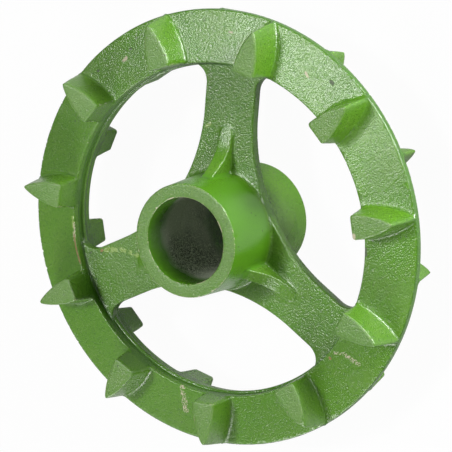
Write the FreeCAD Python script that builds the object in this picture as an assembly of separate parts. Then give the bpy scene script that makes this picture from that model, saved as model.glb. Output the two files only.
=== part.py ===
"""Crosskill roller ring: one sand casting, millimetres.

A wedge-section rim with eleven cams on each side, three flat spokes and a long bored hub.
The ring lies flat: its axis is Z, and the origin is the middle of the bore, in the mid-plane
of the spokes. The first spoke and one cam of the upper side lie along +X.
"""
import FreeCAD, Part
import math
import os

# Rim: a disc with conical sides, thick at its inner wall and thin at its outer edge
RIM_DIAMETER = 350.0
RIM_EDGE_WIDTH = 6.0
RIM_EDGE_BEVEL = 0.8
RIM_INNER_DIAMETER = 267.4
RIM_INNER_WIDTH = 22.2
RIM_WALL_DRAFT = 2.0

# Parting lip that runs round the rim's inner wall between the spokes
LIP_WIDTH = 4.0
LIP_HEIGHT = 1.8

# Cams: tall blunt teeth, each with a flat inner end and two curved flanks that meet in a ridge
CAMS_PER_SIDE = 11
WIDTH_OVER_CAMS = 66.0
CAM_TOP_WIDTH = 19.4
CAM_FOOT_WIDTH = 25.6
CAM_TOP_SETBACK = 1.4
CAM_FLANK_RADIUS = 67.5
CAM_CORNER_ROUND = 2.5

# Web: three flat spokes in the mid-plane
SPOKES = 3
WEB_THICKNESS = 8.5
SPOKE_WIDTH = 45.0
WINDOW_CORNER_RADIUS = 17.0
WEB_LAND_AT_HUB = 0.3

# Hub: a long barrel, thickest at the web
HUB_LENGTH = 112.8
HUB_END_DIAMETER = 90.0
HUB_WEB_DIAMETER = 94.6
HUB_FOOT_BEVEL = 1.7
HUB_EDGE_BEVEL = 0.8
BORE_DIAMETER = 68.6

# Ribs: one gusset on each side of every spoke, from the hub's barrel down to the spoke
RIB_WIDTH = 11.6
RIB_DRAFT = 2.5
RIB_HEIGHT_AT_HUB = 29.5
RIB_KNEE_REACH = 15.2
RIB_KNEE_HEIGHT = 5.7
RIB_LENGTH = 38.0
RIB_KNEE_RADIUS = 28.0

# Places that follow from the sizes above
RIM_RADIUS = RIM_DIAMETER / 2
EDGE_Z = RIM_EDGE_WIDTH / 2
INNER_RADIUS = RIM_INNER_DIAMETER / 2
INNER_Z = RIM_INNER_WIDTH / 2
WALL_RADIUS = INNER_RADIUS - INNER_Z * math.tan(math.radians(RIM_WALL_DRAFT))
CAM_Z = WIDTH_OVER_CAMS / 2
WEB_Z = WEB_THICKNESS / 2
HUB_Z = HUB_LENGTH / 2
HUB_END_RADIUS = HUB_END_DIAMETER / 2
HUB_WEB_RADIUS = HUB_WEB_DIAMETER / 2
BORE_RADIUS = BORE_DIAMETER / 2
INSIDE_HUB_WALL = (BORE_RADIUS + HUB_END_RADIUS) / 2
INSIDE_RIM = INNER_RADIUS + LIP_HEIGHT
CAM_PITCH = 360.0 / CAMS_PER_SIDE
SPOKE_PITCH = 360.0 / SPOKES


def vec(x, y=0.0, z=0.0):
    return FreeCAD.Vector(x, y, z)


def line(start, end):
    return Part.LineSegment(start, end).toShape()


def arc(start, middle, end):
    return Part.Arc(start, middle, end).toShape()


def loop(points):
    """A closed run of straight edges through the points."""
    return [line(a, b) for a, b in zip(points, points[1:] + points[:1])]


def rounded(points, radii):
    """A closed wire through the points, each corner rounded by its radius."""
    middles = []
    starts = []
    ends = []
    for i, corner in enumerate(points):
        to_last = (points[i - 1] - corner).normalize()
        to_next = (points[(i + 1) % len(points)] - corner).normalize()
        half = to_last.getAngle(to_next) / 2
        reach = radii[i] / math.tan(half)
        starts.append(corner + to_last * reach)
        ends.append(corner + to_next * reach)
        inward = (to_last + to_next).normalize()
        middles.append(corner + inward * (radii[i] / math.sin(half) - radii[i]))
    edges = []
    for i, middle in enumerate(middles):
        if radii[i]:
            edges.append(arc(starts[i], middle, ends[i]))
        following = (i + 1) % len(points)
        edges.append(line(ends[i], starts[following]))
    return Part.Wire(edges)


def bevelled(points, cuts):
    """A closed wire through the points, each corner cut off straight by its reach."""
    corners = []
    for i, corner in enumerate(points):
        if cuts[i]:
            to_last = (points[i - 1] - corner).normalize()
            to_next = (points[(i + 1) % len(points)] - corner).normalize()
            corners.append(corner + to_last * cuts[i])
            corners.append(corner + to_next * cuts[i])
        else:
            corners.append(corner)
    return Part.Wire(loop(corners))


def turned(wire):
    """The solid of a profile in the XZ plane, turned about the ring's axis."""
    return Part.Face(wire).revolve(vec(0), vec(0, 0, 1), 360)


def rim():
    """Wedge section, with the inner wall drafted both ways from the mid-plane."""
    points = [
        vec(INNER_RADIUS, 0, INNER_Z),
        vec(WALL_RADIUS, 0, 0),
        vec(INNER_RADIUS, 0, -INNER_Z),
        vec(RIM_RADIUS, 0, -EDGE_Z),
        vec(RIM_RADIUS, 0, EDGE_Z),
    ]
    return turned(bevelled(points, [0, 0, 0, RIM_EDGE_BEVEL, RIM_EDGE_BEVEL]))


def flat_ring(inner, outer, thickness):
    """A plain ring in the mid-plane."""
    half = thickness / 2
    corners = [(inner, -half), (outer, -half), (outer, half), (inner, half)]
    return turned(Part.Wire(loop([vec(r, 0, z) for r, z in corners])))


def lip():
    """A low square ridge on the rim's inner wall, rooted inside the rim."""
    return flat_ring(WALL_RADIUS - LIP_HEIGHT, INSIDE_RIM, LIP_WIDTH)


def web_disc():
    """A flat disc from inside the hub's wall to inside the rim."""
    return flat_ring(INSIDE_HUB_WALL, INSIDE_RIM, WEB_THICKNESS)


def hub():
    """Two tapered barrels back to back, each ending at the web in a bevelled foot."""
    foot = HUB_WEB_RADIUS + 2 * HUB_FOOT_BEVEL
    points = [
        vec(BORE_RADIUS, 0, -HUB_Z),
        vec(HUB_END_RADIUS, 0, -HUB_Z),
        vec(HUB_WEB_RADIUS, 0, -WEB_Z),
        vec(foot, 0, -WEB_Z),
        vec(foot, 0, WEB_Z),
        vec(HUB_WEB_RADIUS, 0, WEB_Z),
        vec(HUB_END_RADIUS, 0, HUB_Z),
        vec(BORE_RADIUS, 0, HUB_Z),
    ]
    lower = [HUB_EDGE_BEVEL, HUB_EDGE_BEVEL, HUB_FOOT_BEVEL, 0]
    return turned(bevelled(points, lower + lower[::-1]))


def window():
    """One opening between two spokes, centred on +X, as tall as the hub.

    The spokes' straight sides run on into one large arc that just clears the hub, and the
    outer side follows the rim's inner wall.
    """
    half_pitch = math.radians(SPOKE_PITCH / 2)
    apex = HUB_WEB_RADIUS + WEB_LAND_AT_HUB
    centre_x = (apex - SPOKE_WIDTH / 2) / (1 - math.sin(half_pitch))
    outer = WALL_RADIUS
    half = SPOKE_WIDTH / 2
    corner = WINDOW_CORNER_RADIUS

    def beside_spoke(along, away):
        """A point beside the spoke above +X, by its distance along and away from it."""
        x = along * math.cos(half_pitch) + away * math.sin(half_pitch)
        y = along * math.sin(half_pitch) - away * math.cos(half_pitch)
        return vec(x, y)

    tangent_along = centre_x * math.cos(half_pitch)
    corner_away = half + corner
    corner_along = math.sqrt((outer - corner) ** 2 - corner_away ** 2)
    corner_centre = beside_spoke(corner_along, corner_away)
    on_outer = corner_centre * (outer / corner_centre.Length)
    on_spoke = beside_spoke(corner_along, half)
    halfway = (on_outer + on_spoke) * 0.5 - corner_centre
    mid_corner = corner_centre + halfway.normalize() * corner
    tangent = beside_spoke(tangent_along, half)

    def below(point):
        return vec(point.x, -point.y)

    edges = [
        arc(tangent, vec(apex), below(tangent)),
        line(below(tangent), below(on_spoke)),
        arc(below(on_spoke), below(mid_corner), below(on_outer)),
        arc(below(on_outer), vec(outer), on_outer),
        arc(on_outer, mid_corner, on_spoke),
        line(on_spoke, tangent),
    ]
    face = Part.Face(Part.Wire(edges))
    face.translate(vec(0, 0, -HUB_Z))
    return face.extrude(vec(0, 0, HUB_LENGTH))


def slab(outline, thickness):
    """The solid of an outline in the XZ plane, half its thickness on each side of it."""
    face = Part.Face(outline)
    face.translate(vec(0, -thickness / 2, 0))
    return face.extrude(vec(0, thickness, 0))


def cam():
    """One cam on the upper side at +X, from inside the rim up to its flat top.

    Each flank is part of a large cylinder that leans inwards as it rises, so the two meet in
    a ridge that falls back towards the top. The foot lies inside the rim, level with the
    rim's outer edge, and is wide enough for the flanks to leave the rim's inner edge at the
    cam's foot width.
    """
    height = CAM_Z - EDGE_Z
    down = height / (CAM_Z - INNER_Z)
    foot_half = (CAM_TOP_WIDTH + (CAM_FOOT_WIDTH - CAM_TOP_WIDTH) * down) / 2
    foot_end = WALL_RADIUS + (INNER_RADIUS - WALL_RADIUS) * EDGE_Z / INNER_Z
    top_end = INNER_RADIUS + CAM_TOP_SETBACK
    lean = vec(top_end - foot_end, CAM_TOP_WIDTH / 2 - foot_half, height)
    level_radius = CAM_FLANK_RADIUS * math.hypot(lean.y, lean.z) / lean.z
    axis_foot = vec(foot_end, foot_half - level_radius, EDGE_Z)
    below_foot = axis_foot - lean / 2
    flank = Part.makeCylinder(CAM_FLANK_RADIUS, 2 * lean.Length, below_foot, lean)
    column = flank.common(flank.mirror(vec(0), vec(0, 1, 0)))
    side_view = Part.Wire(loop([
        vec(foot_end, 0, EDGE_Z),
        vec(RIM_RADIUS, 0, EDGE_Z),
        vec(RIM_RADIUS, 0, CAM_Z),
        vec(top_end, 0, CAM_Z),
    ]))
    tooth = column.common(slab(side_view, 2 * CAM_FOOT_WIDTH))
    inner_end = [edge for edge in tooth.Edges if edge.CenterOfMass.x < top_end]
    inner_corners = [edge for edge in inner_end if edge.Length > height]
    return tooth.makeFillet(CAM_CORNER_ROUND, inner_corners)


def rib():
    """One gusset on the upper side of the spoke at +X.

    Its crest falls steeply from the hub's barrel, bends and runs out on the spoke. It is
    the crest's slab, as seen from the side, kept only inside the ribs' drafted section.
    """
    crest_z = WEB_Z + RIB_HEIGHT_AT_HUB
    tip = HUB_WEB_RADIUS + RIB_LENGTH
    side_view = rounded([
        vec(INSIDE_HUB_WALL, 0, crest_z),
        vec(HUB_END_RADIUS, 0, crest_z),
        vec(HUB_WEB_RADIUS + RIB_KNEE_REACH, 0, WEB_Z + RIB_KNEE_HEIGHT),
        vec(tip, 0, WEB_Z),
        vec(INSIDE_HUB_WALL, 0, WEB_Z),
    ], [0, 0, RIB_KNEE_RADIUS, 0, 0])
    foot = RIB_WIDTH / 2
    crest = foot - RIB_HEIGHT_AT_HUB * math.tan(math.radians(RIB_DRAFT))
    section = Part.Face(Part.Wire(loop([
        vec(INSIDE_HUB_WALL, -foot, WEB_Z),
        vec(INSIDE_HUB_WALL, foot, WEB_Z),
        vec(INSIDE_HUB_WALL, crest, crest_z),
        vec(INSIDE_HUB_WALL, -crest, crest_z),
    ])))
    drafted = section.extrude(vec(tip - INSIDE_HUB_WALL, 0, 0))
    return drafted.common(slab(side_view, 2 * RIB_WIDTH))


def around(shape, count, pitch, first=0.0):
    """Copies of a shape set round the ring's axis."""
    copies = []
    for i in range(count):
        copy = shape.copy()
        copy.rotate(vec(0), vec(0, 0, 1), first + i * pitch)
        copies.append(copy)
    return copies


def underside(shape):
    """The same shape on the lower side of the mid-plane."""
    return shape.mirror(vec(0), vec(0, 0, 1))


def roller_ring():
    blank = rim().fuse([web_disc(), hub()])
    blank = blank.cut(around(window(), SPOKES, SPOKE_PITCH, SPOKE_PITCH / 2))
    upper_cam = cam()
    upper_rib = rib()
    added = [lip()]
    added += around(upper_cam, CAMS_PER_SIDE, CAM_PITCH)
    added += around(underside(upper_cam), CAMS_PER_SIDE, CAM_PITCH, CAM_PITCH / 2)
    added += around(upper_rib, SPOKES, SPOKE_PITCH)
    added += around(underside(upper_rib), SPOKES, SPOKE_PITCH)
    return blank.fuse(added).removeSplitter()


os.makedirs("parts", exist_ok=True)
ring = roller_ring()
print("solids", len(ring.Solids), "valid", ring.isValid(), "volume cm3", round(ring.Volume / 1000, 1))
ring.exportStep("parts/roller_ring.step")
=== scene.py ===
# %% [markdown]
# # A crosskill roller ring, from a formula to a painted casting
# The ring is one sand casting: a wedge-shaped rim with pointed cams on both faces, three flat
# spokes with gusset ribs, and a long hub with a plain bore. Everything here is in metres, in
# the frame of the packed CAD part: Z is the axis of the bore, and a spoke lies along +X. A
# length that is easier to read in millimetres is written so, and multiplied by MM.
# First the frame is loaded. It brings the CAD solid, whose box the finished ring has to keep.

# %% Load the frame
import functools
import math

import bpy
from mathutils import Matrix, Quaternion, Vector


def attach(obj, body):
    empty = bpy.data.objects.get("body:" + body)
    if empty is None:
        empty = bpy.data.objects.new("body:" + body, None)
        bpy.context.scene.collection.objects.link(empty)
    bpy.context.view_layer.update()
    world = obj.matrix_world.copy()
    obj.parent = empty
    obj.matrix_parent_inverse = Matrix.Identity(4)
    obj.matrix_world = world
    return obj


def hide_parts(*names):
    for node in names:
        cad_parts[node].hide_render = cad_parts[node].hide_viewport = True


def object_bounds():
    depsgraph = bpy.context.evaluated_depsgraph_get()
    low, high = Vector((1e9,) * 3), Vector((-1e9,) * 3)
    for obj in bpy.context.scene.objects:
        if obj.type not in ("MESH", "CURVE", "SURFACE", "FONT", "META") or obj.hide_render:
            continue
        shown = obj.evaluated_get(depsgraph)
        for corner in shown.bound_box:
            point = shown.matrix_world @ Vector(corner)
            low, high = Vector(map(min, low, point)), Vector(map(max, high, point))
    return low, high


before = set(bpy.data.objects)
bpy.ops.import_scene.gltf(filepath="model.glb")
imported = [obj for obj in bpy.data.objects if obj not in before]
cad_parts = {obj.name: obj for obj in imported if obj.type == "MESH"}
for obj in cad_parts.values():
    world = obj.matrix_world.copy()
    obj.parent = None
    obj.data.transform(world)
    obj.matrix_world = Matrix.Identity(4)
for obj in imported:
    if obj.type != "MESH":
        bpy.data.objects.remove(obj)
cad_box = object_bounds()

MM = 0.001
print("CAD box", [tuple(round(v, 4) for v in corner) for corner in cad_box])

# %% [markdown]
# ## The camera
# The photograph was taken from far away with a long lens, which flattens the ring. The lens and
# the place come from fitting a pinhole camera to the circles of the rim, the hub and the bore.
# A camera looks along its own -Z, so it is pointed at the place where its line of sight meets
# the mid-plane of the ring, and then rolled about that line, because the ring was standing
# askew when it was photographed and lies flat here.

# %% Camera
SENSOR_MM = 36.0
LENS_MM = 228.45
CAMERA_PLACE = (-1.22818, 0.07637, 1.91218)
AIM = Vector((-0.00418, -0.00087, 0.00012))
ROLL_DEGREES = -108.206
camera_data = bpy.data.cameras.new("photo_camera")
camera_data.sensor_width = SENSOR_MM
camera_data.lens = LENS_MM
camera = bpy.data.objects.new("photo_camera", camera_data)
bpy.context.scene.collection.objects.link(camera)
camera.location = CAMERA_PLACE
towards_aim = AIM - camera.location
roll = Quaternion((0, 0, 1), math.radians(ROLL_DEGREES))
camera.rotation_mode = "QUATERNION"
camera.rotation_quaternion = towards_aim.to_track_quat("-Z", "Y") @ roll
bpy.context.scene.camera = camera
print("camera", round(towards_aim.length, 3), "m from the ring")

# %% [markdown]
# ## Writing node trees as sums
# Both the shape and the paint are node trees. Wiring hundreds of Math nodes by hand hides what
# they compute, so a small class stands for a value that flows through a tree, and Python's own
# operators add the nodes. `Graph.node` makes them all: a node's settings are set first,
# because a setting can change which sockets it has.

# %% A value that flows through a tree
class Flow:
    """A value on its way through a node tree. Operators on it add Math nodes."""

    def __init__(self, graph, socket):
        self.graph = graph
        self.socket = socket

    def output(self, name):
        """Another output of the same node."""
        return Flow(self.graph, self.socket.node.outputs[name])

    def __add__(self, other):
        return maths("ADD", self, other)

    def __sub__(self, other):
        return maths("SUBTRACT", self, other)

    def __rsub__(self, other):
        return maths("SUBTRACT", other, self)

    def __mul__(self, other):
        return maths("MULTIPLY", self, other)

    def __truediv__(self, other):
        return maths("DIVIDE", self, other)

    def __rtruediv__(self, other):
        return maths("DIVIDE", other, self)

    def __neg__(self):
        return maths("MULTIPLY", self, -1.0)

    def __abs__(self):
        return maths("ABSOLUTE", self)

    __radd__ = __add__
    __rmul__ = __mul__


def maths(operation, *values):
    """A Math node on numbers and flowing values, of which at least one flows."""
    graph = next(value.graph for value in values if isinstance(value, Flow))
    return graph.node("ShaderNodeMath", {"operation": operation}, dict(enumerate(values)))


print("operators", [name for name in vars(Flow) if name.startswith("__r") or name == "__add__"])

# %% A tree to write in
class Graph:
    """A node tree to write expressions in."""

    def __init__(self, tree):
        self.tree = tree
        tree.nodes.clear()

    def node(self, kind, settings=(), sockets=(), output=0):
        """Any node: its type, its settings, then the values or links of its sockets."""
        made = self.tree.nodes.new(kind)
        for name, value in dict(settings).items():
            setattr(made, name, value)
        for name, value in dict(sockets).items():
            if isinstance(value, Flow):
                self.tree.links.new(value.socket, made.inputs[name])
            else:
                made.inputs[name].default_value = value
        return Flow(self, made.outputs[output]) if made.outputs else made

    def noise(self, at, scale, detail=1.0, roughness=0.5):
        return self.node("ShaderNodeTexNoise", {"noise_dimensions": "3D"}, {
            "Vector": at, "Scale": scale, "Detail": detail, "Roughness": roughness,
        })

    def rising(self, value, low, high):
        """0 below low, 1 above high, and a soft step between."""
        return self.node("ShaderNodeMapRange", {"interpolation_type": "SMOOTHSTEP"}, {
            "Value": value, "From Min": low, "From Max": high,
        })


print("node helpers", [name for name in vars(Graph) if not name.startswith("_")])

# %% [markdown]
# ## Soft meetings
# A casting has no sharp edge: sand rounds every corner, and the pattern maker puts a fillet
# wherever two forms meet. A signed distance says how far a point is outside a form, and is
# negative inside. The smaller of two distances joins two forms and the larger keeps what they
# share. These helpers do the same with a radius, which gives the fillets and the rounds.
# The round also takes a little off the sharp form, and the fillet adds a little. That little
# is greatest right on the edge or in the crease, so it is kept in a list, for points on the
# softened form only. Later it tells the paint where it has worn thin and where painted shade
# darkens the creases.

# %% Joining and trimming with a radius
def least(a, b):
    return maths("MINIMUM", a, b)


def most(a, b):
    return maths("MAXIMUM", a, b)


def reach(a, b):
    """Length of a straight way that goes a along and b across."""
    return maths("SQRT", a * a + b * b)


SOFTENING = 1.0 - math.sqrt(0.5)
edges = []
creases = []


def softened(sharp, soft, radius):
    """1 in the middle of a round or fillet, 0 beside it and away from the form's surface."""
    nearness = most(1.0 - abs(soft) / (radius * 0.5), 0.0)
    return nearness * abs(soft - sharp) / (radius * SOFTENING)


def joined(a, b, radius, is_crease=False):
    """Both forms, with a fillet where they meet."""
    sharp = least(a, b)
    soft = most(radius, sharp) - reach(most(radius - a, 0.0), most(radius - b, 0.0))
    if is_crease:
        creases.append(softened(sharp, soft, radius))
    return soft


def trimmed(a, b, radius, is_edge=True):
    """What two forms share, with a rounded edge between them."""
    sharp = most(a, b)
    soft = least(-radius, sharp) + reach(most(radius + a, 0.0), most(radius + b, 0.0))
    if is_edge:
        edges.append(softened(sharp, soft, radius))
    return soft


def outside_line(across, up, start, end):
    """Distance to the left of the line from start to end, in a plane of two directions."""
    run = end[0] - start[0]
    rise = end[1] - start[1]
    return ((up - start[1]) * run - (across - start[0]) * rise) / reach(run, rise)


print("a round takes off at most", round(SOFTENING, 3), "of its radius")

# %% [markdown]
# ## The sizes
# These are the sizes of the CAD source, in millimetres, with the rounds and fillets that only
# the visible ring has. Each becomes a named input of the geometry tree. Some differ from the
# source by a little, because a round eats into a form and the photograph shows what is left.

# %% Sizes
SIZES_MM = {
    "Rim radius": 175.0,
    "Rim edge width": 6.0,
    "Rim inner radius": 133.7,
    "Rim inner width": 22.2,
    "Wall radius": 133.3,
    "Lip width": 4.0,
    "Lip height": 1.8,
    "Width over cams": 66.4,
    "Cam top width": 19.6,
    "Cam foot width": 25.6,
    "Cam top setback": 1.2,
    "Cam flank radius": 79.0,
    "Cam corner": 2.4,
    "Cam edge round": 0.7,
    "Cam ridge round": 1.5,
    "Cam unevenness": 0.4,
    "Cam root fillet": 1.8,
    "Web thickness": 8.5,
    "Spoke width": 44.6,
    "First spoke extra": 2.8,
    "Window corner": 17.0,
    "Window apex": 47.6,
    "Hub length": 112.8,
    "Hub end radius": 45.0,
    "Hub web radius": 47.3,
    "Hub foot fillet": 2.2,
    "Bore radius": 34.3,
    "Rib width": 11.6,
    "Rib top": 33.75,
    "Rib knee reach": 62.5,
    "Rib knee height": 9.95,
    "Rib end": 78.0,
    "Rib end height": 6.2,
    "Edge round": 0.7,
    "Waviness": 0.25,
    "Cell": 0.7,
}
COUNTS = {"Cams per side": 11, "Spokes": 3, "Seed": 5}
print(len(SIZES_MM), "sizes and", len(COUNTS), "counts")

# %% The geometry tree and its inputs
ring_tree = bpy.data.node_groups.new("cast_ring", "GeometryNodeTree")
ring_graph = Graph(ring_tree)
ring_tree.interface.new_socket("Geometry", in_out="OUTPUT", socket_type="NodeSocketGeometry")
identifiers = {}
for names, kind in ((SIZES_MM, "NodeSocketFloat"), (COUNTS, "NodeSocketInt")):
    for name in names:
        socket = ring_tree.interface.new_socket(name, in_out="INPUT", socket_type=kind)
        identifiers[name] = socket.identifier
entry = ring_graph.node("NodeGroupInput")
size = {name: entry.output(name) for name in identifiers}
print("inputs", len(size))

# %% Where each point is
position = ring_graph.node("GeometryNodeInputPosition")
separated = ring_graph.node("ShaderNodeSeparateXYZ", sockets={"Vector": position})
x, y, z = separated, separated.output("Y"), separated.output("Z")
radial = reach(x, y)
height = abs(z)
bearing = maths("ARCTAN2", y, x)


def folded(count, turn):
    """Folds the ring onto one of count equal sectors: along it, beside it, and its number."""
    sector = 2 * math.pi / count
    turned = bearing - turn
    number = maths("ROUND", turned / sector)
    offset = turned - number * sector
    return (
        radial * maths("COSINE", offset),
        radial * maths("SINE", offset),
        maths("FLOORED_MODULO", number, count),
    )


print(len(ring_tree.nodes), "nodes")

# %% [markdown]
# ### The rim
# Its section is a wedge, the same on both sides of the mid-plane, so the formula only looks at
# the distance from the axis and the height above the mid-plane. A low lip runs round the
# inner wall where the two halves of the mould met.

# %% Rim
edge_height = size["Rim edge width"] / 2
inner_height = size["Rim inner width"] / 2
face = outside_line(
    radial, height,
    (size["Rim inner radius"], inner_height), (size["Rim radius"], edge_height),
)
wall = outside_line(
    radial, height,
    (size["Wall radius"], 0.0), (size["Rim inner radius"], inner_height),
)
rim = trimmed(face, radial - size["Rim radius"], size["Edge round"])
rim = trimmed(rim, wall, size["Edge round"])
print("rim", len(ring_tree.nodes), "nodes")

# %% Lip on the rim's inner wall
LIP_ROUND = 0.6 * MM
LIP_FILLET = 0.5 * MM
lip_face = size["Wall radius"] - size["Lip height"] - radial
lip = trimmed(lip_face, height - size["Lip width"] / 2, LIP_ROUND, is_edge=False)
lip = most(lip, radial - size["Rim inner radius"] - size["Lip height"])
rim = joined(rim, lip, LIP_FILLET)
print("rim and lip", len(ring_tree.nodes), "nodes")

# %% [markdown]
# ### The cams
# Each cam has a flat inner end, a flat top and two flanks. A flank is part of a large cylinder
# that leans inwards as it rises, so the distance to it is the distance to a line, less the
# radius. Folding the bearing repeats one cam eleven times. Below the mid-plane the fold is
# turned by half a sector, so the same formula also gives the cams of the lower face. A random
# number for each cam makes some a little lower than others, as on a worn casting. It comes
# from the cam's number, and those below the mid-plane are counted on from a higher one.

# %% Which cam a point belongs to
FIRST_CAM_BELOW = 40.0
below = maths("LESS_THAN", z, 0.0)
along, beside, cam_number = folded(
    size["Cams per side"], below * (math.pi / size["Cams per side"])
)
whim = ring_graph.node(
    "ShaderNodeTexWhiteNoise", {"noise_dimensions": "1D"},
    {"W": cam_number + below * FIRST_CAM_BELOW + size["Seed"]},
)
print("cam numbers", len(ring_tree.nodes), "nodes")

# %% Leaning line in the middle of a flank's cylinder
cam_height = size["Width over cams"] / 2
rise = cam_height - edge_height
foot_share = rise / (cam_height - inner_height)
top_half = size["Cam top width"] / 2
foot_half = top_half + (size["Cam foot width"] / 2 - top_half) * foot_share
wall_slope = (size["Rim inner radius"] - size["Wall radius"]) / inner_height
foot_end = size["Wall radius"] + wall_slope * edge_height
top_end = size["Rim inner radius"] + size["Cam top setback"]
lean_x = top_end - foot_end
lean_y = top_half - foot_half
lean_length = maths("SQRT", lean_x * lean_x + lean_y * lean_y + rise * rise)
level_radius = size["Cam flank radius"] * reach(lean_y, rise) / rise
print("leaning line", len(ring_tree.nodes), "nodes")

# %% Flanks, inner end and top
off_x = along - foot_end
off_y = reach(beside, size["Cam ridge round"]) - (foot_half - level_radius)
off_z = height - edge_height
on_axis = (off_x * lean_x + off_y * lean_y + off_z * rise) / lean_length
off_axis = off_x * off_x + off_y * off_y + off_z * off_z - on_axis * on_axis
flank = maths("SQRT", off_axis) - size["Cam flank radius"]
inner_end = outside_line(along, height, (foot_end, edge_height), (top_end, cam_height))
top = height - cam_height + size["Cam unevenness"] * whim
cam = trimmed(flank, inner_end, size["Cam corner"])
cam = trimmed(cam, top, size["Cam edge round"])
cam = most(cam, edge_height - height)
print("cams", len(ring_tree.nodes), "nodes")

# %% [markdown]
# One cam of the upper face has lost its tip: a plane that slants down and outwards takes it
# off. Away from that cam the plane is pushed far out, where it cuts nothing.

# %% The cam that lost its tip
BLUNT_CAM = 3
BREAK_REACH, BREAK_HEIGHT = 168.3 * MM, 31.4 * MM
BREAK_OUTWARDS, BREAK_UPWARDS = 0.34, 0.94
BREAK_ROUND = 0.6 * MM
FAR_OUT = 60.0 * MM
is_blunt = maths("COMPARE", cam_number, float(BLUNT_CAM), 0.5) * (1.0 - below)
broken_face = (along - BREAK_REACH) * BREAK_OUTWARDS + (height - BREAK_HEIGHT) * BREAK_UPWARDS
cam = trimmed(cam, broken_face - (1.0 - is_blunt) * FAR_OUT, BREAK_ROUND)
print("blunt cam at bearing", round(BLUNT_CAM * 360 / COUNTS["Cams per side"], 1), "degrees")

# %% [markdown]
# ### The web and its windows
# The web is a flat plate less three windows. Beside a spoke the window's edge is straight, and
# nearer the hub it is one large arc that just clears the hub. Which of the two counts depends
# on whether the point lies beyond the place where the line touches the arc. The first spoke
# is a little wider than the others.

# %% Edge of a window
half_pitch = math.pi / size["Spokes"]
window_x, window_y, _ = folded(size["Spokes"], half_pitch)
window_y = abs(window_y)
pitch_cos = maths("COSINE", half_pitch)
pitch_sin = maths("SINE", half_pitch)
spoke_x, spoke_y, spoke_number = folded(size["Spokes"], 0.0)
on_first = maths("LESS_THAN", spoke_number, 0.5)
spoke_half = (size["Spoke width"] + on_first * size["First spoke extra"]) / 2
arc_centre = (size["Window apex"] - spoke_half) / (1.0 - pitch_sin)
arc_radius = arc_centre - size["Window apex"]
along_spoke = window_x * pitch_cos + window_y * pitch_sin
straight = spoke_half - (window_x * pitch_sin - window_y * pitch_cos)
curved = reach(window_x - arc_centre, window_y) - arc_radius
beyond = maths("GREATER_THAN", along_spoke, arc_centre * pitch_cos)
side = straight * beyond + curved * (1.0 - beyond)
print("windows", len(ring_tree.nodes), "nodes")

# %% Plate less its windows
window = trimmed(
    side, radial - size["Rim inner radius"], size["Window corner"], is_edge=False
)
web = trimmed(height - size["Web thickness"] / 2, -window, size["Edge round"])
web = most(web, radial - (size["Rim inner radius"] + size["Rim radius"]) / 2)
print("web", len(ring_tree.nodes), "nodes")

# %% [markdown]
# ### The hub and the ribs
# The hub is a barrel that narrows towards both ends. A gusset rib on each side of every spoke
# carries it: its crest falls steeply from the barrel, bends in a wide curve and runs out on
# the spoke with a rounded end.

# %% Hub
web_height = size["Web thickness"] / 2
hub_height = size["Hub length"] / 2
barrel = outside_line(
    radial, height,
    (size["Hub end radius"], hub_height), (size["Hub web radius"], web_height),
)
hub = trimmed(barrel, height - hub_height, size["Edge round"])
print("hub", len(ring_tree.nodes), "nodes")

# %% Ribs
KNEE_RADIUS = 6.0 * MM
RIB_DRAFT = math.tan(math.radians(2.5))
knee = (size["Rib knee reach"], size["Rib knee height"])
steep = outside_line(spoke_x, height, (size["Hub end radius"], size["Rib top"]), knee)
shallow = outside_line(spoke_x, height, knee, (size["Rib end"], size["Rib end height"]))
crest = joined(steep, shallow, KNEE_RADIUS)
past_end = most(spoke_x - size["Rib end"], 0.0)
rib_side = reach(past_end, spoke_y) - size["Rib width"] / 2 + (height - web_height) * RIB_DRAFT
rib = trimmed(rib_side, crest, size["Edge round"])
rib = most(rib, size["Bore radius"] - spoke_x)
print("ribs", len(ring_tree.nodes), "nodes")

# %% [markdown]
# ### One casting
# Now the forms flow together, each pair with the fillet that the sand left between them, and
# the bore is cut through them all. The last line adds slow waves of a fraction of a
# millimetre, because no face of a sand casting is quite flat.

# %% One casting
RIB_FILLET = 1.5 * MM
RIM_FILLET = 1.0 * MM
WAVES_PER_METRE = 42.0
plate = joined(web, rib, RIB_FILLET, is_crease=True)
plate = joined(plate, hub, size["Hub foot fillet"], is_crease=True)
cammed_rim = joined(rim, cam, size["Cam root fillet"], is_crease=True)
solid = joined(plate, cammed_rim, RIM_FILLET, is_crease=True)
solid = trimmed(solid, size["Bore radius"] - radial, size["Edge round"])
waves = ring_graph.noise(position, WAVES_PER_METRE)
surface = solid + (waves - 0.5) * size["Waviness"]
print("casting", len(ring_tree.nodes), "nodes")

# %% [markdown]
# ### From distances to a mesh
# Volume Cube samples the formula on a grid and Volume to Mesh wraps a skin round it. A volume
# holds a density, so the distance is turned into one that falls from 1 inside to 0 outside
# over a few cells. The skin follows the grid only roughly, so each of its points is then
# pushed along its normal by the distance that the formula gives there, twice, which puts it
# on the surface.

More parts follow.
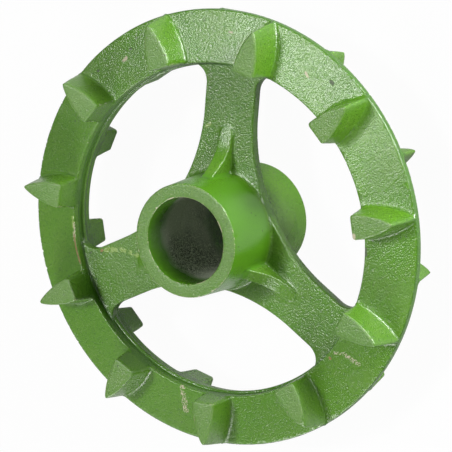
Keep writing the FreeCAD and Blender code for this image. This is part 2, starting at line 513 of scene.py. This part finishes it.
# %% Skin round the volume
MARGIN_MM = 3.0
CELLS_OF_FALL = 4.0
FLAT_FACES_MERGE = 0.12
half_width = size["Rim radius"] + MARGIN_MM * MM
half_depth = hub_height + MARGIN_MM * MM
corners = [
    ring_graph.node("ShaderNodeCombineXYZ", sockets={
        "X": half_width * sign, "Y": half_width * sign, "Z": half_depth * sign,
    })
    for sign in (-1.0, 1.0)
]
density = ring_graph.node(
    "ShaderNodeMath", {"operation": "SUBTRACT", "use_clamp": True},
    {0: 0.5, 1: surface / (size["Cell"] * CELLS_OF_FALL)},
)
cells_across = 2.0 * half_width / size["Cell"]
block = ring_graph.node("GeometryNodeVolumeCube", sockets={
    "Density": density, "Background": 0.0, "Min": corners[0], "Max": corners[1],
    "Resolution X": cells_across, "Resolution Y": cells_across,
    "Resolution Z": 2.0 * half_depth / size["Cell"],
})
skin = ring_graph.node("GeometryNodeVolumeToMesh", sockets={
    "Volume": block, "Threshold": 0.5, "Adaptivity": FLAT_FACES_MERGE,
})
cell_count = round(2 * (SIZES_MM["Rim radius"] + MARGIN_MM) / SIZES_MM["Cell"])
print("grid of", cell_count, "cells across")

# %% Settle the skin on the surface
PUSHES = 2
normal = ring_graph.node("GeometryNodeInputNormal")
for _ in range(PUSHES):
    shift = ring_graph.node(
        "ShaderNodeVectorMath", {"operation": "SCALE"}, {0: normal, "Scale": -surface}
    )
    skin = ring_graph.node("GeometryNodeSetPosition", sockets={"Geometry": skin, "Offset": shift})
print("pushed", PUSHES, "times,", len(ring_tree.nodes), "nodes")

# %% Note the edges and creases and finish the tree
green_paint = bpy.data.materials.new("green_paint")
for name, amounts in (("edge", edges), ("crease", creases)):
    skin = ring_graph.node("GeometryNodeStoreNamedAttribute", {"data_type": "FLOAT"}, {
        "Geometry": skin, "Name": name, "Value": functools.reduce(most, amounts),
    })
skin = ring_graph.node("GeometryNodeSetShadeSmooth", sockets={"Geometry": skin})
skin = ring_graph.node("GeometryNodeRealizeInstances", sockets={"Geometry": skin})
skin = ring_graph.node(
    "GeometryNodeSetMaterial", sockets={"Geometry": skin, "Material": green_paint}
)
ring_graph.node("NodeGroupOutput", sockets={"Geometry": skin})
print("finished", len(ring_tree.nodes), "nodes,", len(edges), "edges,", len(creases), "creases")

# %% [markdown]
# The tree is put on an object as a modifier. Its inputs are set by their identifiers, before
# anything evaluates it. Then the result is copied into a plain mesh and the modifier goes. The
# copy comes with an empty material slot, so the paint is given to the mesh once more.

# %% Make the ring
ring = bpy.data.objects.new("cast_ring", bpy.data.meshes.new("cast_ring"))
bpy.context.scene.collection.objects.link(ring)
modifier = ring.modifiers.new("cast_ring", "NODES")
modifier.node_group = ring_tree
for name, value in SIZES_MM.items():
    modifier[identifiers[name]] = value * MM
for name, value in COUNTS.items():
    modifier[identifiers[name]] = value
evaluated = ring.evaluated_get(bpy.context.evaluated_depsgraph_get())
ring.data = bpy.data.meshes.new_from_object(evaluated)
ring.modifiers.clear()
ring.data.materials.clear()
ring.data.materials.append(green_paint)
ring.data.calc_loop_triangles()
print("ring", len(ring.data.vertices), "points", len(ring.data.loop_triangles), "triangles")

# %% [markdown]
# ## The paint
# The ring was sprayed with a glossy green enamel, straight onto the rough skin that the sand
# left. The enamel follows the sand's grain, so a lamp's reflection breaks up into specks like
# orange peel. The grain is finer than the mesh, so it goes into the material as bump: two
# layers of noise for the grains, and a broader one for the way the paint flowed. On the
# barrel of the hub above the web the paint lies thicker and the grain is shallower.

# %% Where a point of the paint lies
green_paint.use_nodes = True
paint = Graph(green_paint.node_tree)
place = paint.node("ShaderNodeTexCoord", output="Object")
apart = paint.node("ShaderNodeSeparateXYZ", sockets={"Vector": place})
from_axis = reach(apart, apart.output("Y"))
from_middle = abs(apart.output("Z"))
worn_edge = paint.node("ShaderNodeAttribute", {"attribute_name": "edge"}, output="Fac")
crease = paint.node("ShaderNodeAttribute", {"attribute_name": "crease"}, output="Fac")


def blend(amount, first, second):
    """A colour between two colours."""
    return paint.node("ShaderNodeMix", {"data_type": "RGBA"}, {
        "Factor": amount, 6: first, 7: second,
    }, output=2)


print("paint starts with", len(paint.tree.nodes), "nodes")

# %% Sand grain under the paint
FINE_GRAINS_PER_METRE = 760.0
COARSE_GRAINS_PER_METRE = 520.0
RUNS_PER_METRE = 210.0
fine_grain = paint.noise(place, FINE_GRAINS_PER_METRE, 2.0, 0.6)
coarse_grain = paint.noise(place, COARSE_GRAINS_PER_METRE, 1.0)
flow_grain = paint.noise(place, RUNS_PER_METRE, 1.0)
above_web = paint.rising(apart.output("Z"), 6 * MM, 9 * MM)
hub_end = paint.rising(from_middle, 55.7 * MM, 56.1 * MM)
on_barrel = above_web * (1.0 - paint.rising(from_axis, 48 * MM, 50 * MM)) * (1.0 - hub_end)
grain_depth = 1.0 - on_barrel * 0.6
relief = (fine_grain * 0.95 + coarse_grain * 0.25 + flow_grain * 0.15) * grain_depth
print("grain", len(paint.tree.nodes), "nodes")

# %% [markdown]
# ### Colour of the enamel
# On the barrel of the hub the enamel is still clean and deep. Every other face has lain in a
# heap of such rings, so a fine dust and scuffing make it paler and yellower, in patches.

# %% Green
SLOW_PATCHES_PER_METRE = 16.0
BROAD_PATCHES_PER_METRE = 55.0
CLEAN_GREEN = (0.060, 0.187, 0.006, 1.0)
DUSTY_GREEN = (0.084, 0.198, 0.015, 1.0)
slow = paint.noise(place, SLOW_PATCHES_PER_METRE, 2.0)
broad = paint.noise(place, BROAD_PATCHES_PER_METRE, 2.0, 0.6)
dust = 0.4 + paint.rising(slow, 0.35, 0.65) * 0.3 + paint.rising(broad, 0.35, 0.7) * 0.3
green = blend(dust * (1.0 - on_barrel * 0.95), CLEAN_GREEN, DUSTY_GREEN)
print("green", len(paint.tree.nodes), "nodes")

# %% [markdown]
# The tops of the cams and the ends of the hub stand proud, so they rub on the neighbours. There
# the paint is greyer, and worn through to specks on the highest grains. Elsewhere only a few
# grains show pale. The hollows between grains are painted darker: painted shade.

# %% Proud faces, specks and painted shade in the hollows
PALE_SPECK = (0.36, 0.42, 0.22, 1.0)
RUBBED_GREEN = (0.135, 0.215, 0.070, 1.0)
# Painted shade: the darker green laid into hollows, corners and the tread.
PAINTED_SHADE_GREEN = (0.035, 0.110, 0.010, 1.0)
cam_tops = paint.rising(from_middle, 31.7 * MM, 32.2 * MM) * paint.rising(from_axis, 0.10, 0.12)
proud = most(hub_end, cam_tops)
grains = fine_grain * 0.75 + coarse_grain * 0.25
crests = paint.rising(grains, 0.57, 0.68)
green = blend(proud * (0.05 + broad * 0.3), green, RUBBED_GREEN)
# Painted shade in the hollows between grains, less on the barrel.
shaded_hollows = 1.0 - paint.rising(grains, 0.34, 0.48)
green = blend(shaded_hollows * (0.75 - on_barrel * 0.5), green, PAINTED_SHADE_GREEN)
green = blend(crests * (0.13 + proud * 0.2) * (1.0 - on_barrel), green, PALE_SPECK)
print("specks", len(paint.tree.nodes), "nodes")

# %% [markdown]
# ### Bare iron in the bore
# The spray reached only two or three centimetres into the bore. Beyond, the wall is bare
# cast iron, grey and dark in patches, and smooth in some of them. Its pale grey is painted
# light: far paler than iron, it brightens the bore, which little lamp light reaches. The
# border wanders, so a noise moves it to and fro.

# %% Bore
# Painted light: a grey much paler than bare iron, for light that hardly reaches the bore.
PAINTED_LIGHT_IRON = (0.640, 0.680, 0.560, 1.0)
DARK_IRON = (0.050, 0.065, 0.035, 1.0)
BORDER_WANDER = 14 * MM
hub_end_height = SIZES_MM["Hub length"] / 2 * MM
depth = hub_end_height - from_middle + (broad - 0.5) * BORDER_WANDER
in_bore = 1.0 - paint.rising(from_axis, 34.7 * MM, 35.3 * MM)
unpainted = in_bore * paint.rising(depth, 17 * MM, 31 * MM)
smooth = paint.rising(slow, 0.38, 0.58) * 0.7
iron_with_painted_light = blend(most(paint.rising(fine_grain, 0.35, 0.7), smooth), DARK_IRON, PAINTED_LIGHT_IRON)
coat_colour = blend(unpainted, green, iron_with_painted_light)
print("bore", len(paint.tree.nodes), "nodes")

# %% [markdown]
# ### Painted shade
# Shade is painted into the narrow corners as a darker green: along the lip on the rim's
# inner wall, where the flat plate meets that wall, and in broken lines round the feet of the
# hub, the ribs and the cams. The narrow tread round the rim is painted darker in patches,
# also as painted shade.

# %% Painted shade
CORNER_RADIUS = 132.6 * MM
LIP_CORNER_HEIGHT = 2.7 * MM
PLATE_CORNER_HEIGHT = 4.9 * MM


def dirt_line(height_of_line):
    """Painted shade: 1 at a height off the mid-plane, and 0 from about a millimetre beside it."""
    return 1.0 - paint.rising(abs(from_middle - height_of_line), 0.5 * MM, 1.3 * MM)


# Painted shade in the corners by the lip and by the plate.
in_corner = 1.0 - paint.rising(abs(from_axis - CORNER_RADIUS), 0.9 * MM, 1.8 * MM)
beside_lip = dirt_line(LIP_CORNER_HEIGHT)
beside_plate = dirt_line(PLATE_CORNER_HEIGHT)
dirt = in_corner * most(beside_lip * 0.6, beside_plate * 0.8)
# Painted shade on the tread, in patches.
shaded_tread = paint.rising(from_axis, 174.0 * MM, 174.6 * MM) * (0.35 + broad * 0.7)
broken = paint.rising(broad + (fine_grain - 0.5) * 0.5, 0.35, 0.60)
# Painted shade in broken lines along the creases at the feet.
dirt = most(dirt, paint.rising(crease, 0.25, 0.75) * broken * 0.65)
coat_colour = blend(most(dirt, shaded_tread), coat_colour, PAINTED_SHADE_GREEN)
print("dirt", len(paint.tree.nodes), "nodes")

# %% [markdown]
# ### Knocks and rust
# The marks of use sit where the photograph shows them: pale chips down to the primer, dark
# pits, rust where water stands at the rim's inner edge, and a scuff of pale flecks. Each is a
# ball or a rod in space. What the paint has inside it, within a ragged border, is the mark.

# %% Marks: kind, start, end and width in millimetres
MARKS = [
    ("primer", (25, -154, 7), (22, -155, 7), 1.7),
    ("primer", (-78, -138, 6), (-76, -139, 6), 1.0),
    ("lime", (-28, -81, 4), (-24, -79, 4), 1.9),
    ("primer", (-127, -86, 7), (-128, -82, 8), 1.0),
    ("primer", (-117, -84, 8), (-118, -85, 8), 0.9),
    ("dark", (-145, -70, 6), (-144, -72, 6), 1.3),
    ("dark", (52, -155, 5), (53, -155, 5), 1.1),
    ("dark", (15, -160, 6), (16, -160, 6), 1.0),
    ("flecks", (-61, 123, 10), (-68, 126, 9), 1.5),
    ("flecks", (-68, 126, 9), (-76, 138, 6), 1.7),
    ("rust", (-56, 125, 10), (-56, 126, 10), 1.1),
    ("flecks", (84, 106, 10), (91, 124, 7), 2.6),
    ("lime", (124, -55, 11), (131, -37, 11), 1.5),
    ("rust", (129, -42, 11), (132, -31, 11), 0.8),
    ("flecks", (125, -50, 11), (131, -36, 11), 1.5),
    ("rust", (132, -31, 11), (134, -13, 10), 0.8),
    ("rust", (114, -21, 4), (113, -21, 4), 1.3),
    ("lime", (109, -20, 4), (94, -15, 4), 2.4),
    ("lime", (94, -15, 4), (82, -6, 4), 1.8),
    ("primer", (-129, 44, 32), (-128, 47, 32), 1.8),
    ("dark", (-122, 57, 11), (-120, 61, 11), 1.3),
    ("primer", (129, -46, 32), (132, -39, 32), 1.2),
    ("flecks", (135, -50, 33), (132, -40, 33), 3.0),
    ("primer", (-10, 167, 32), (-13, 166, 32), 0.9),
]
print(len(MARKS), "marks")

# %% Where each kind of mark lies
RAGGEDNESS = 2.2
ragged = paint.noise(place, 480.0, 3.0, 0.7)


def rod_distance(start, end):
    """Distance from a point of the paint to the straight line between two places."""
    start, run = Vector(start) * MM, (Vector(end) - Vector(start)) * MM
    offset = paint.node("ShaderNodeVectorMath", {"operation": "SUBTRACT"}, {0: place, 1: start})
    share = paint.node(
        "ShaderNodeVectorMath", {"operation": "DOT_PRODUCT"},
        {0: offset, 1: run / run.length_squared}, output="Value",
    )
    share = maths("MAXIMUM", maths("MINIMUM", share, 1.0), 0.0)
    foot = paint.node("ShaderNodeVectorMath", {"operation": "SCALE"}, {0: run, "Scale": share})
    return paint.node(
        "ShaderNodeVectorMath", {"operation": "DISTANCE"}, {0: offset, 1: foot}, output="Value"
    )


marked = {}
for kind, start, end, width in MARKS:
    border = rod_distance(start, end) + (ragged - 0.5) * (RAGGEDNESS * width * MM)
    mark = 1.0 - paint.rising(border, 0.75 * width * MM, 1.05 * width * MM)
    marked[kind] = most(marked[kind], mark) if kind in marked else mark
marked["flecks"] = marked["flecks"] * paint.rising(paint.noise(place, 900.0), 0.5, 0.56)
marked["lime"] = marked["lime"] * paint.rising(paint.noise(place, 260.0, 2.0), 0.42, 0.50)
print("kinds of mark", sorted(marked))

# %% [markdown]
# Besides the marks that can be placed, the paint is thin along every edge and has a few pits
# where a grain of sand stuck. The edge attribute that the geometry tree stored says how near a
# point is to an edge, and a noise breaks the line up.

# %% Thin edges and pits
PRIMER = (0.50, 0.43, 0.32, 1.0)
BREAKS_PER_METRE = 140.0
PITS_PER_METRE = 330.0
breaks = paint.noise(place, BREAKS_PER_METRE, 3.0, 0.6)
near_hub_end = paint.rising(from_middle, 55.3 * MM, 55.6 * MM)
worn = paint.rising(breaks + near_hub_end * 0.16, 0.53, 0.62)
thin = paint.rising(worn_edge, 0.35, 0.8) * worn
pits = paint.rising(paint.noise(place, PITS_PER_METRE, 0.0), 0.84, 0.86)
coat_colour = blend(pits * 0.6, coat_colour, DARK_IRON)
coat_colour = blend(thin * (0.45 + near_hub_end * 0.3), coat_colour, PRIMER)
print("edges and pits", len(paint.tree.nodes), "nodes")

# %% Colour and strength of the marks
RUST = (0.250, 0.110, 0.032, 1.0)
LIME = (0.260, 0.370, 0.090, 1.0)
FINISH_OF_MARKS = {
    "lime": (LIME, 0.7), "rust": (RUST, 0.8), "dark": (DARK_IRON, 0.85),
    "primer": (PRIMER, 0.75), "flecks": (PRIMER, 0.8),
}
for kind, (colour, strength) in FINISH_OF_MARKS.items():
    coat_colour = blend(marked[kind] * strength, coat_colour, colour)
print("colour", len(paint.tree.nodes), "nodes")

# %% [markdown]
# ### Gloss
# The enamel follows every grain, so its gloss belongs to the bumped surface itself: a low
# roughness, and a specular level above the usual for a thick resin. A coat on top would stay
# smooth and show no grain. Bare iron and chips are rough. The bump reads the grain, less the
# thickness of the paint where it is gone.

# %% Surface of the paint
ENAMEL_ROUGHNESS = 0.25
BUMP_HEIGHT = 0.46 * MM
RESIN_SPECULAR = 0.7
bare = most(most(unpainted, thin * 0.6), most(marked["primer"], marked["dark"]))
bare = most(bare, most(marked["rust"], marked["flecks"]))
roughness = ENAMEL_ROUGHNESS + (slow - 0.5) * 0.2 + proud * 0.10 + bare * 0.35
bump = paint.node("ShaderNodeBump", sockets={
    "Strength": 1.0, "Distance": BUMP_HEIGHT, "Height": relief - bare * 0.2 - pits * 0.5,
})
skin_shader = paint.node("ShaderNodeBsdfPrincipled", sockets={
    "Base Color": coat_colour, "Roughness": roughness, "Normal": bump,
    "Specular IOR Level": RESIN_SPECULAR,
})
paint.node("ShaderNodeOutputMaterial", sockets={"Surface": skin_shader})
print("paint", len(paint.tree.nodes), "nodes")

# %% [markdown]
# ## The studio
# The photograph was cut out and put on plain white. The floor here is a matt grey sheet, so
# that the ring's shadow falls on it without much light coming back up. To the camera it also
# gives off most of a full white of its own, by way of Light Path, and a little of it to
# reflections, so that it looks white without more light on the ring.

# %% White for the camera
WHITE_IN_REFLECTIONS = 0.1


def whiteness(graph, to_camera):
    """The share of plain white that a ray sees, by where the ray comes from."""
    ray = graph.node("ShaderNodeLightPath")
    mirrored = most(ray.output("Is Glossy Ray"), ray.output("Is Transmission Ray"))
    return most(ray.output("Is Camera Ray") * to_camera, mirrored * WHITE_IN_REFLECTIONS)


print("white in reflections", WHITE_IN_REFLECTIONS)

# %% Floor
FLOOR_REACH = 3.0
FLOOR_GREY = (0.55, 0.55, 0.55, 1.0)
FLOOR_WHITE_TO_CAMERA = 0.96
WHITE = (1, 1, 1, 1)
floor_height = cad_box[0].z
floor_corners = [(-1, -1), (1, -1), (1, 1), (-1, 1)]
floor_mesh = bpy.data.meshes.new("floor")
floor_mesh.from_pydata(
    [(FLOOR_REACH * a, FLOOR_REACH * b, floor_height) for a, b in floor_corners],
    [], [(0, 1, 2, 3)],
)
floor = bpy.data.objects.new("floor", floor_mesh)
bpy.context.scene.collection.objects.link(floor)
floor_paint = bpy.data.materials.new("white_sheet")
floor_paint.use_nodes = True
sheet = Graph(floor_paint.node_tree)
matt = sheet.node("ShaderNodeBsdfDiffuse", sockets={"Color": FLOOR_GREY})
glow = sheet.node("ShaderNodeEmission", sockets={"Color": WHITE, "Strength": 1.0})
sheet_shader = sheet.node("ShaderNodeMixShader", sockets={
    0: whiteness(sheet, FLOOR_WHITE_TO_CAMERA), 1: matt, 2: glow,
})
sheet.node("ShaderNodeOutputMaterial", sockets={"Surface": sheet_shader})
floor_mesh.materials.append(floor_paint)
print("floor at", round(floor_height, 4), "m")

# %% [markdown]
# The world is a dim even light, white where the camera looks straight at it, and a little
# lighter in reflections.

# %% World
WORLD_LIGHT = 0.06
world = bpy.data.worlds.new("studio")
bpy.context.scene.world = world
world.use_nodes = True
air = Graph(world.node_tree)
dim = air.node("ShaderNodeBackground", sockets={"Color": WHITE, "Strength": WORLD_LIGHT})
bright = air.node("ShaderNodeBackground", sockets={"Color": WHITE, "Strength": 1.0})
sky = air.node("ShaderNodeMixShader", sockets={0: whiteness(air, 1.0), 1: dim, 2: bright})
air.node("ShaderNodeOutputWorld", sockets={"Surface": sky})
print("world light", WORLD_LIGHT)

# %% [markdown]
# Soft boxes light the ring as the photographer's did. The key comes low along the ring's face
# and lights the sides of the cams and of the spokes. Its two boxes stand close by, so their
# light falls off across the ring: they are point lamps with a size. A box far away is a sun
# lamp with a wide angle, for which only direction, angle and strength matter. Four small ones
# make the sheen on the upper rim and, with the top light, give the flat faces their tone. The
# fills lift the sides that look away. The strengths come from rendering the ring with each
# lamp alone and solving for the mixture that comes nearest to the tones of the photograph.

# %% Soft boxes: direction, angle in degrees, strength, and distance in metres if close by
LAMPS = {
    "key": ((-0.943, -0.331, 0.020), 16, 3.3, 1.2),
    "key_high": ((-0.970, -0.196, 0.140), 20, 2.0, 1.2),
    "side": ((-0.952, 0.050, 0.301), 20, 0.9, None),
    "top": ((-0.040, -0.500, 0.865), 18, 0.15, None),
    "sheen": ((0.200, -0.340, 0.919), 8, 1.55, None),
    "sheen_high": ((0.100, -0.420, 0.902), 9, 0.35, None),
    "sheen_low": ((0.160, -0.200, 0.967), 9, 0.35, None),
    "sheen_right": ((0.270, -0.130, 0.954), 9, 0.12, None),
    "low_fill": ((0.432, 0.803, 0.410), 26, 2.4, None),
    "far_fill": ((0.752, -0.103, 0.651), 26, 0.06, None),
    "back_fill": ((0.890, 0.380, 0.250), 30, 0.3, None),
}
for name, (direction, angle, strength, distance) in LAMPS.items():
    direction = Vector(direction).normalized()
    lamp_data = bpy.data.lights.new(name, "POINT" if distance else "SUN")
    lamp = bpy.data.objects.new(name, lamp_data)
    bpy.context.scene.collection.objects.link(lamp)
    if distance:
        lamp_data.shadow_soft_size = distance * math.tan(math.radians(angle / 2))
        lamp_data.energy = strength * 4 * math.pi * distance ** 2
        lamp.location = direction * distance
        lamp.visible_camera = False
    else:
        lamp_data.angle = math.radians(angle)
        lamp_data.energy = strength
        lamp.rotation_mode = "QUATERNION"
        lamp.rotation_quaternion = (-direction).to_track_quat("-Z", "Y")
print("lamps", list(LAMPS))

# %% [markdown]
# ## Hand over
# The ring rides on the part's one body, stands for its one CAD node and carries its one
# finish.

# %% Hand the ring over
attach(ring, "root")
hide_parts("roller_ring")
bpy.context.scene.view_settings.view_transform = "Standard"
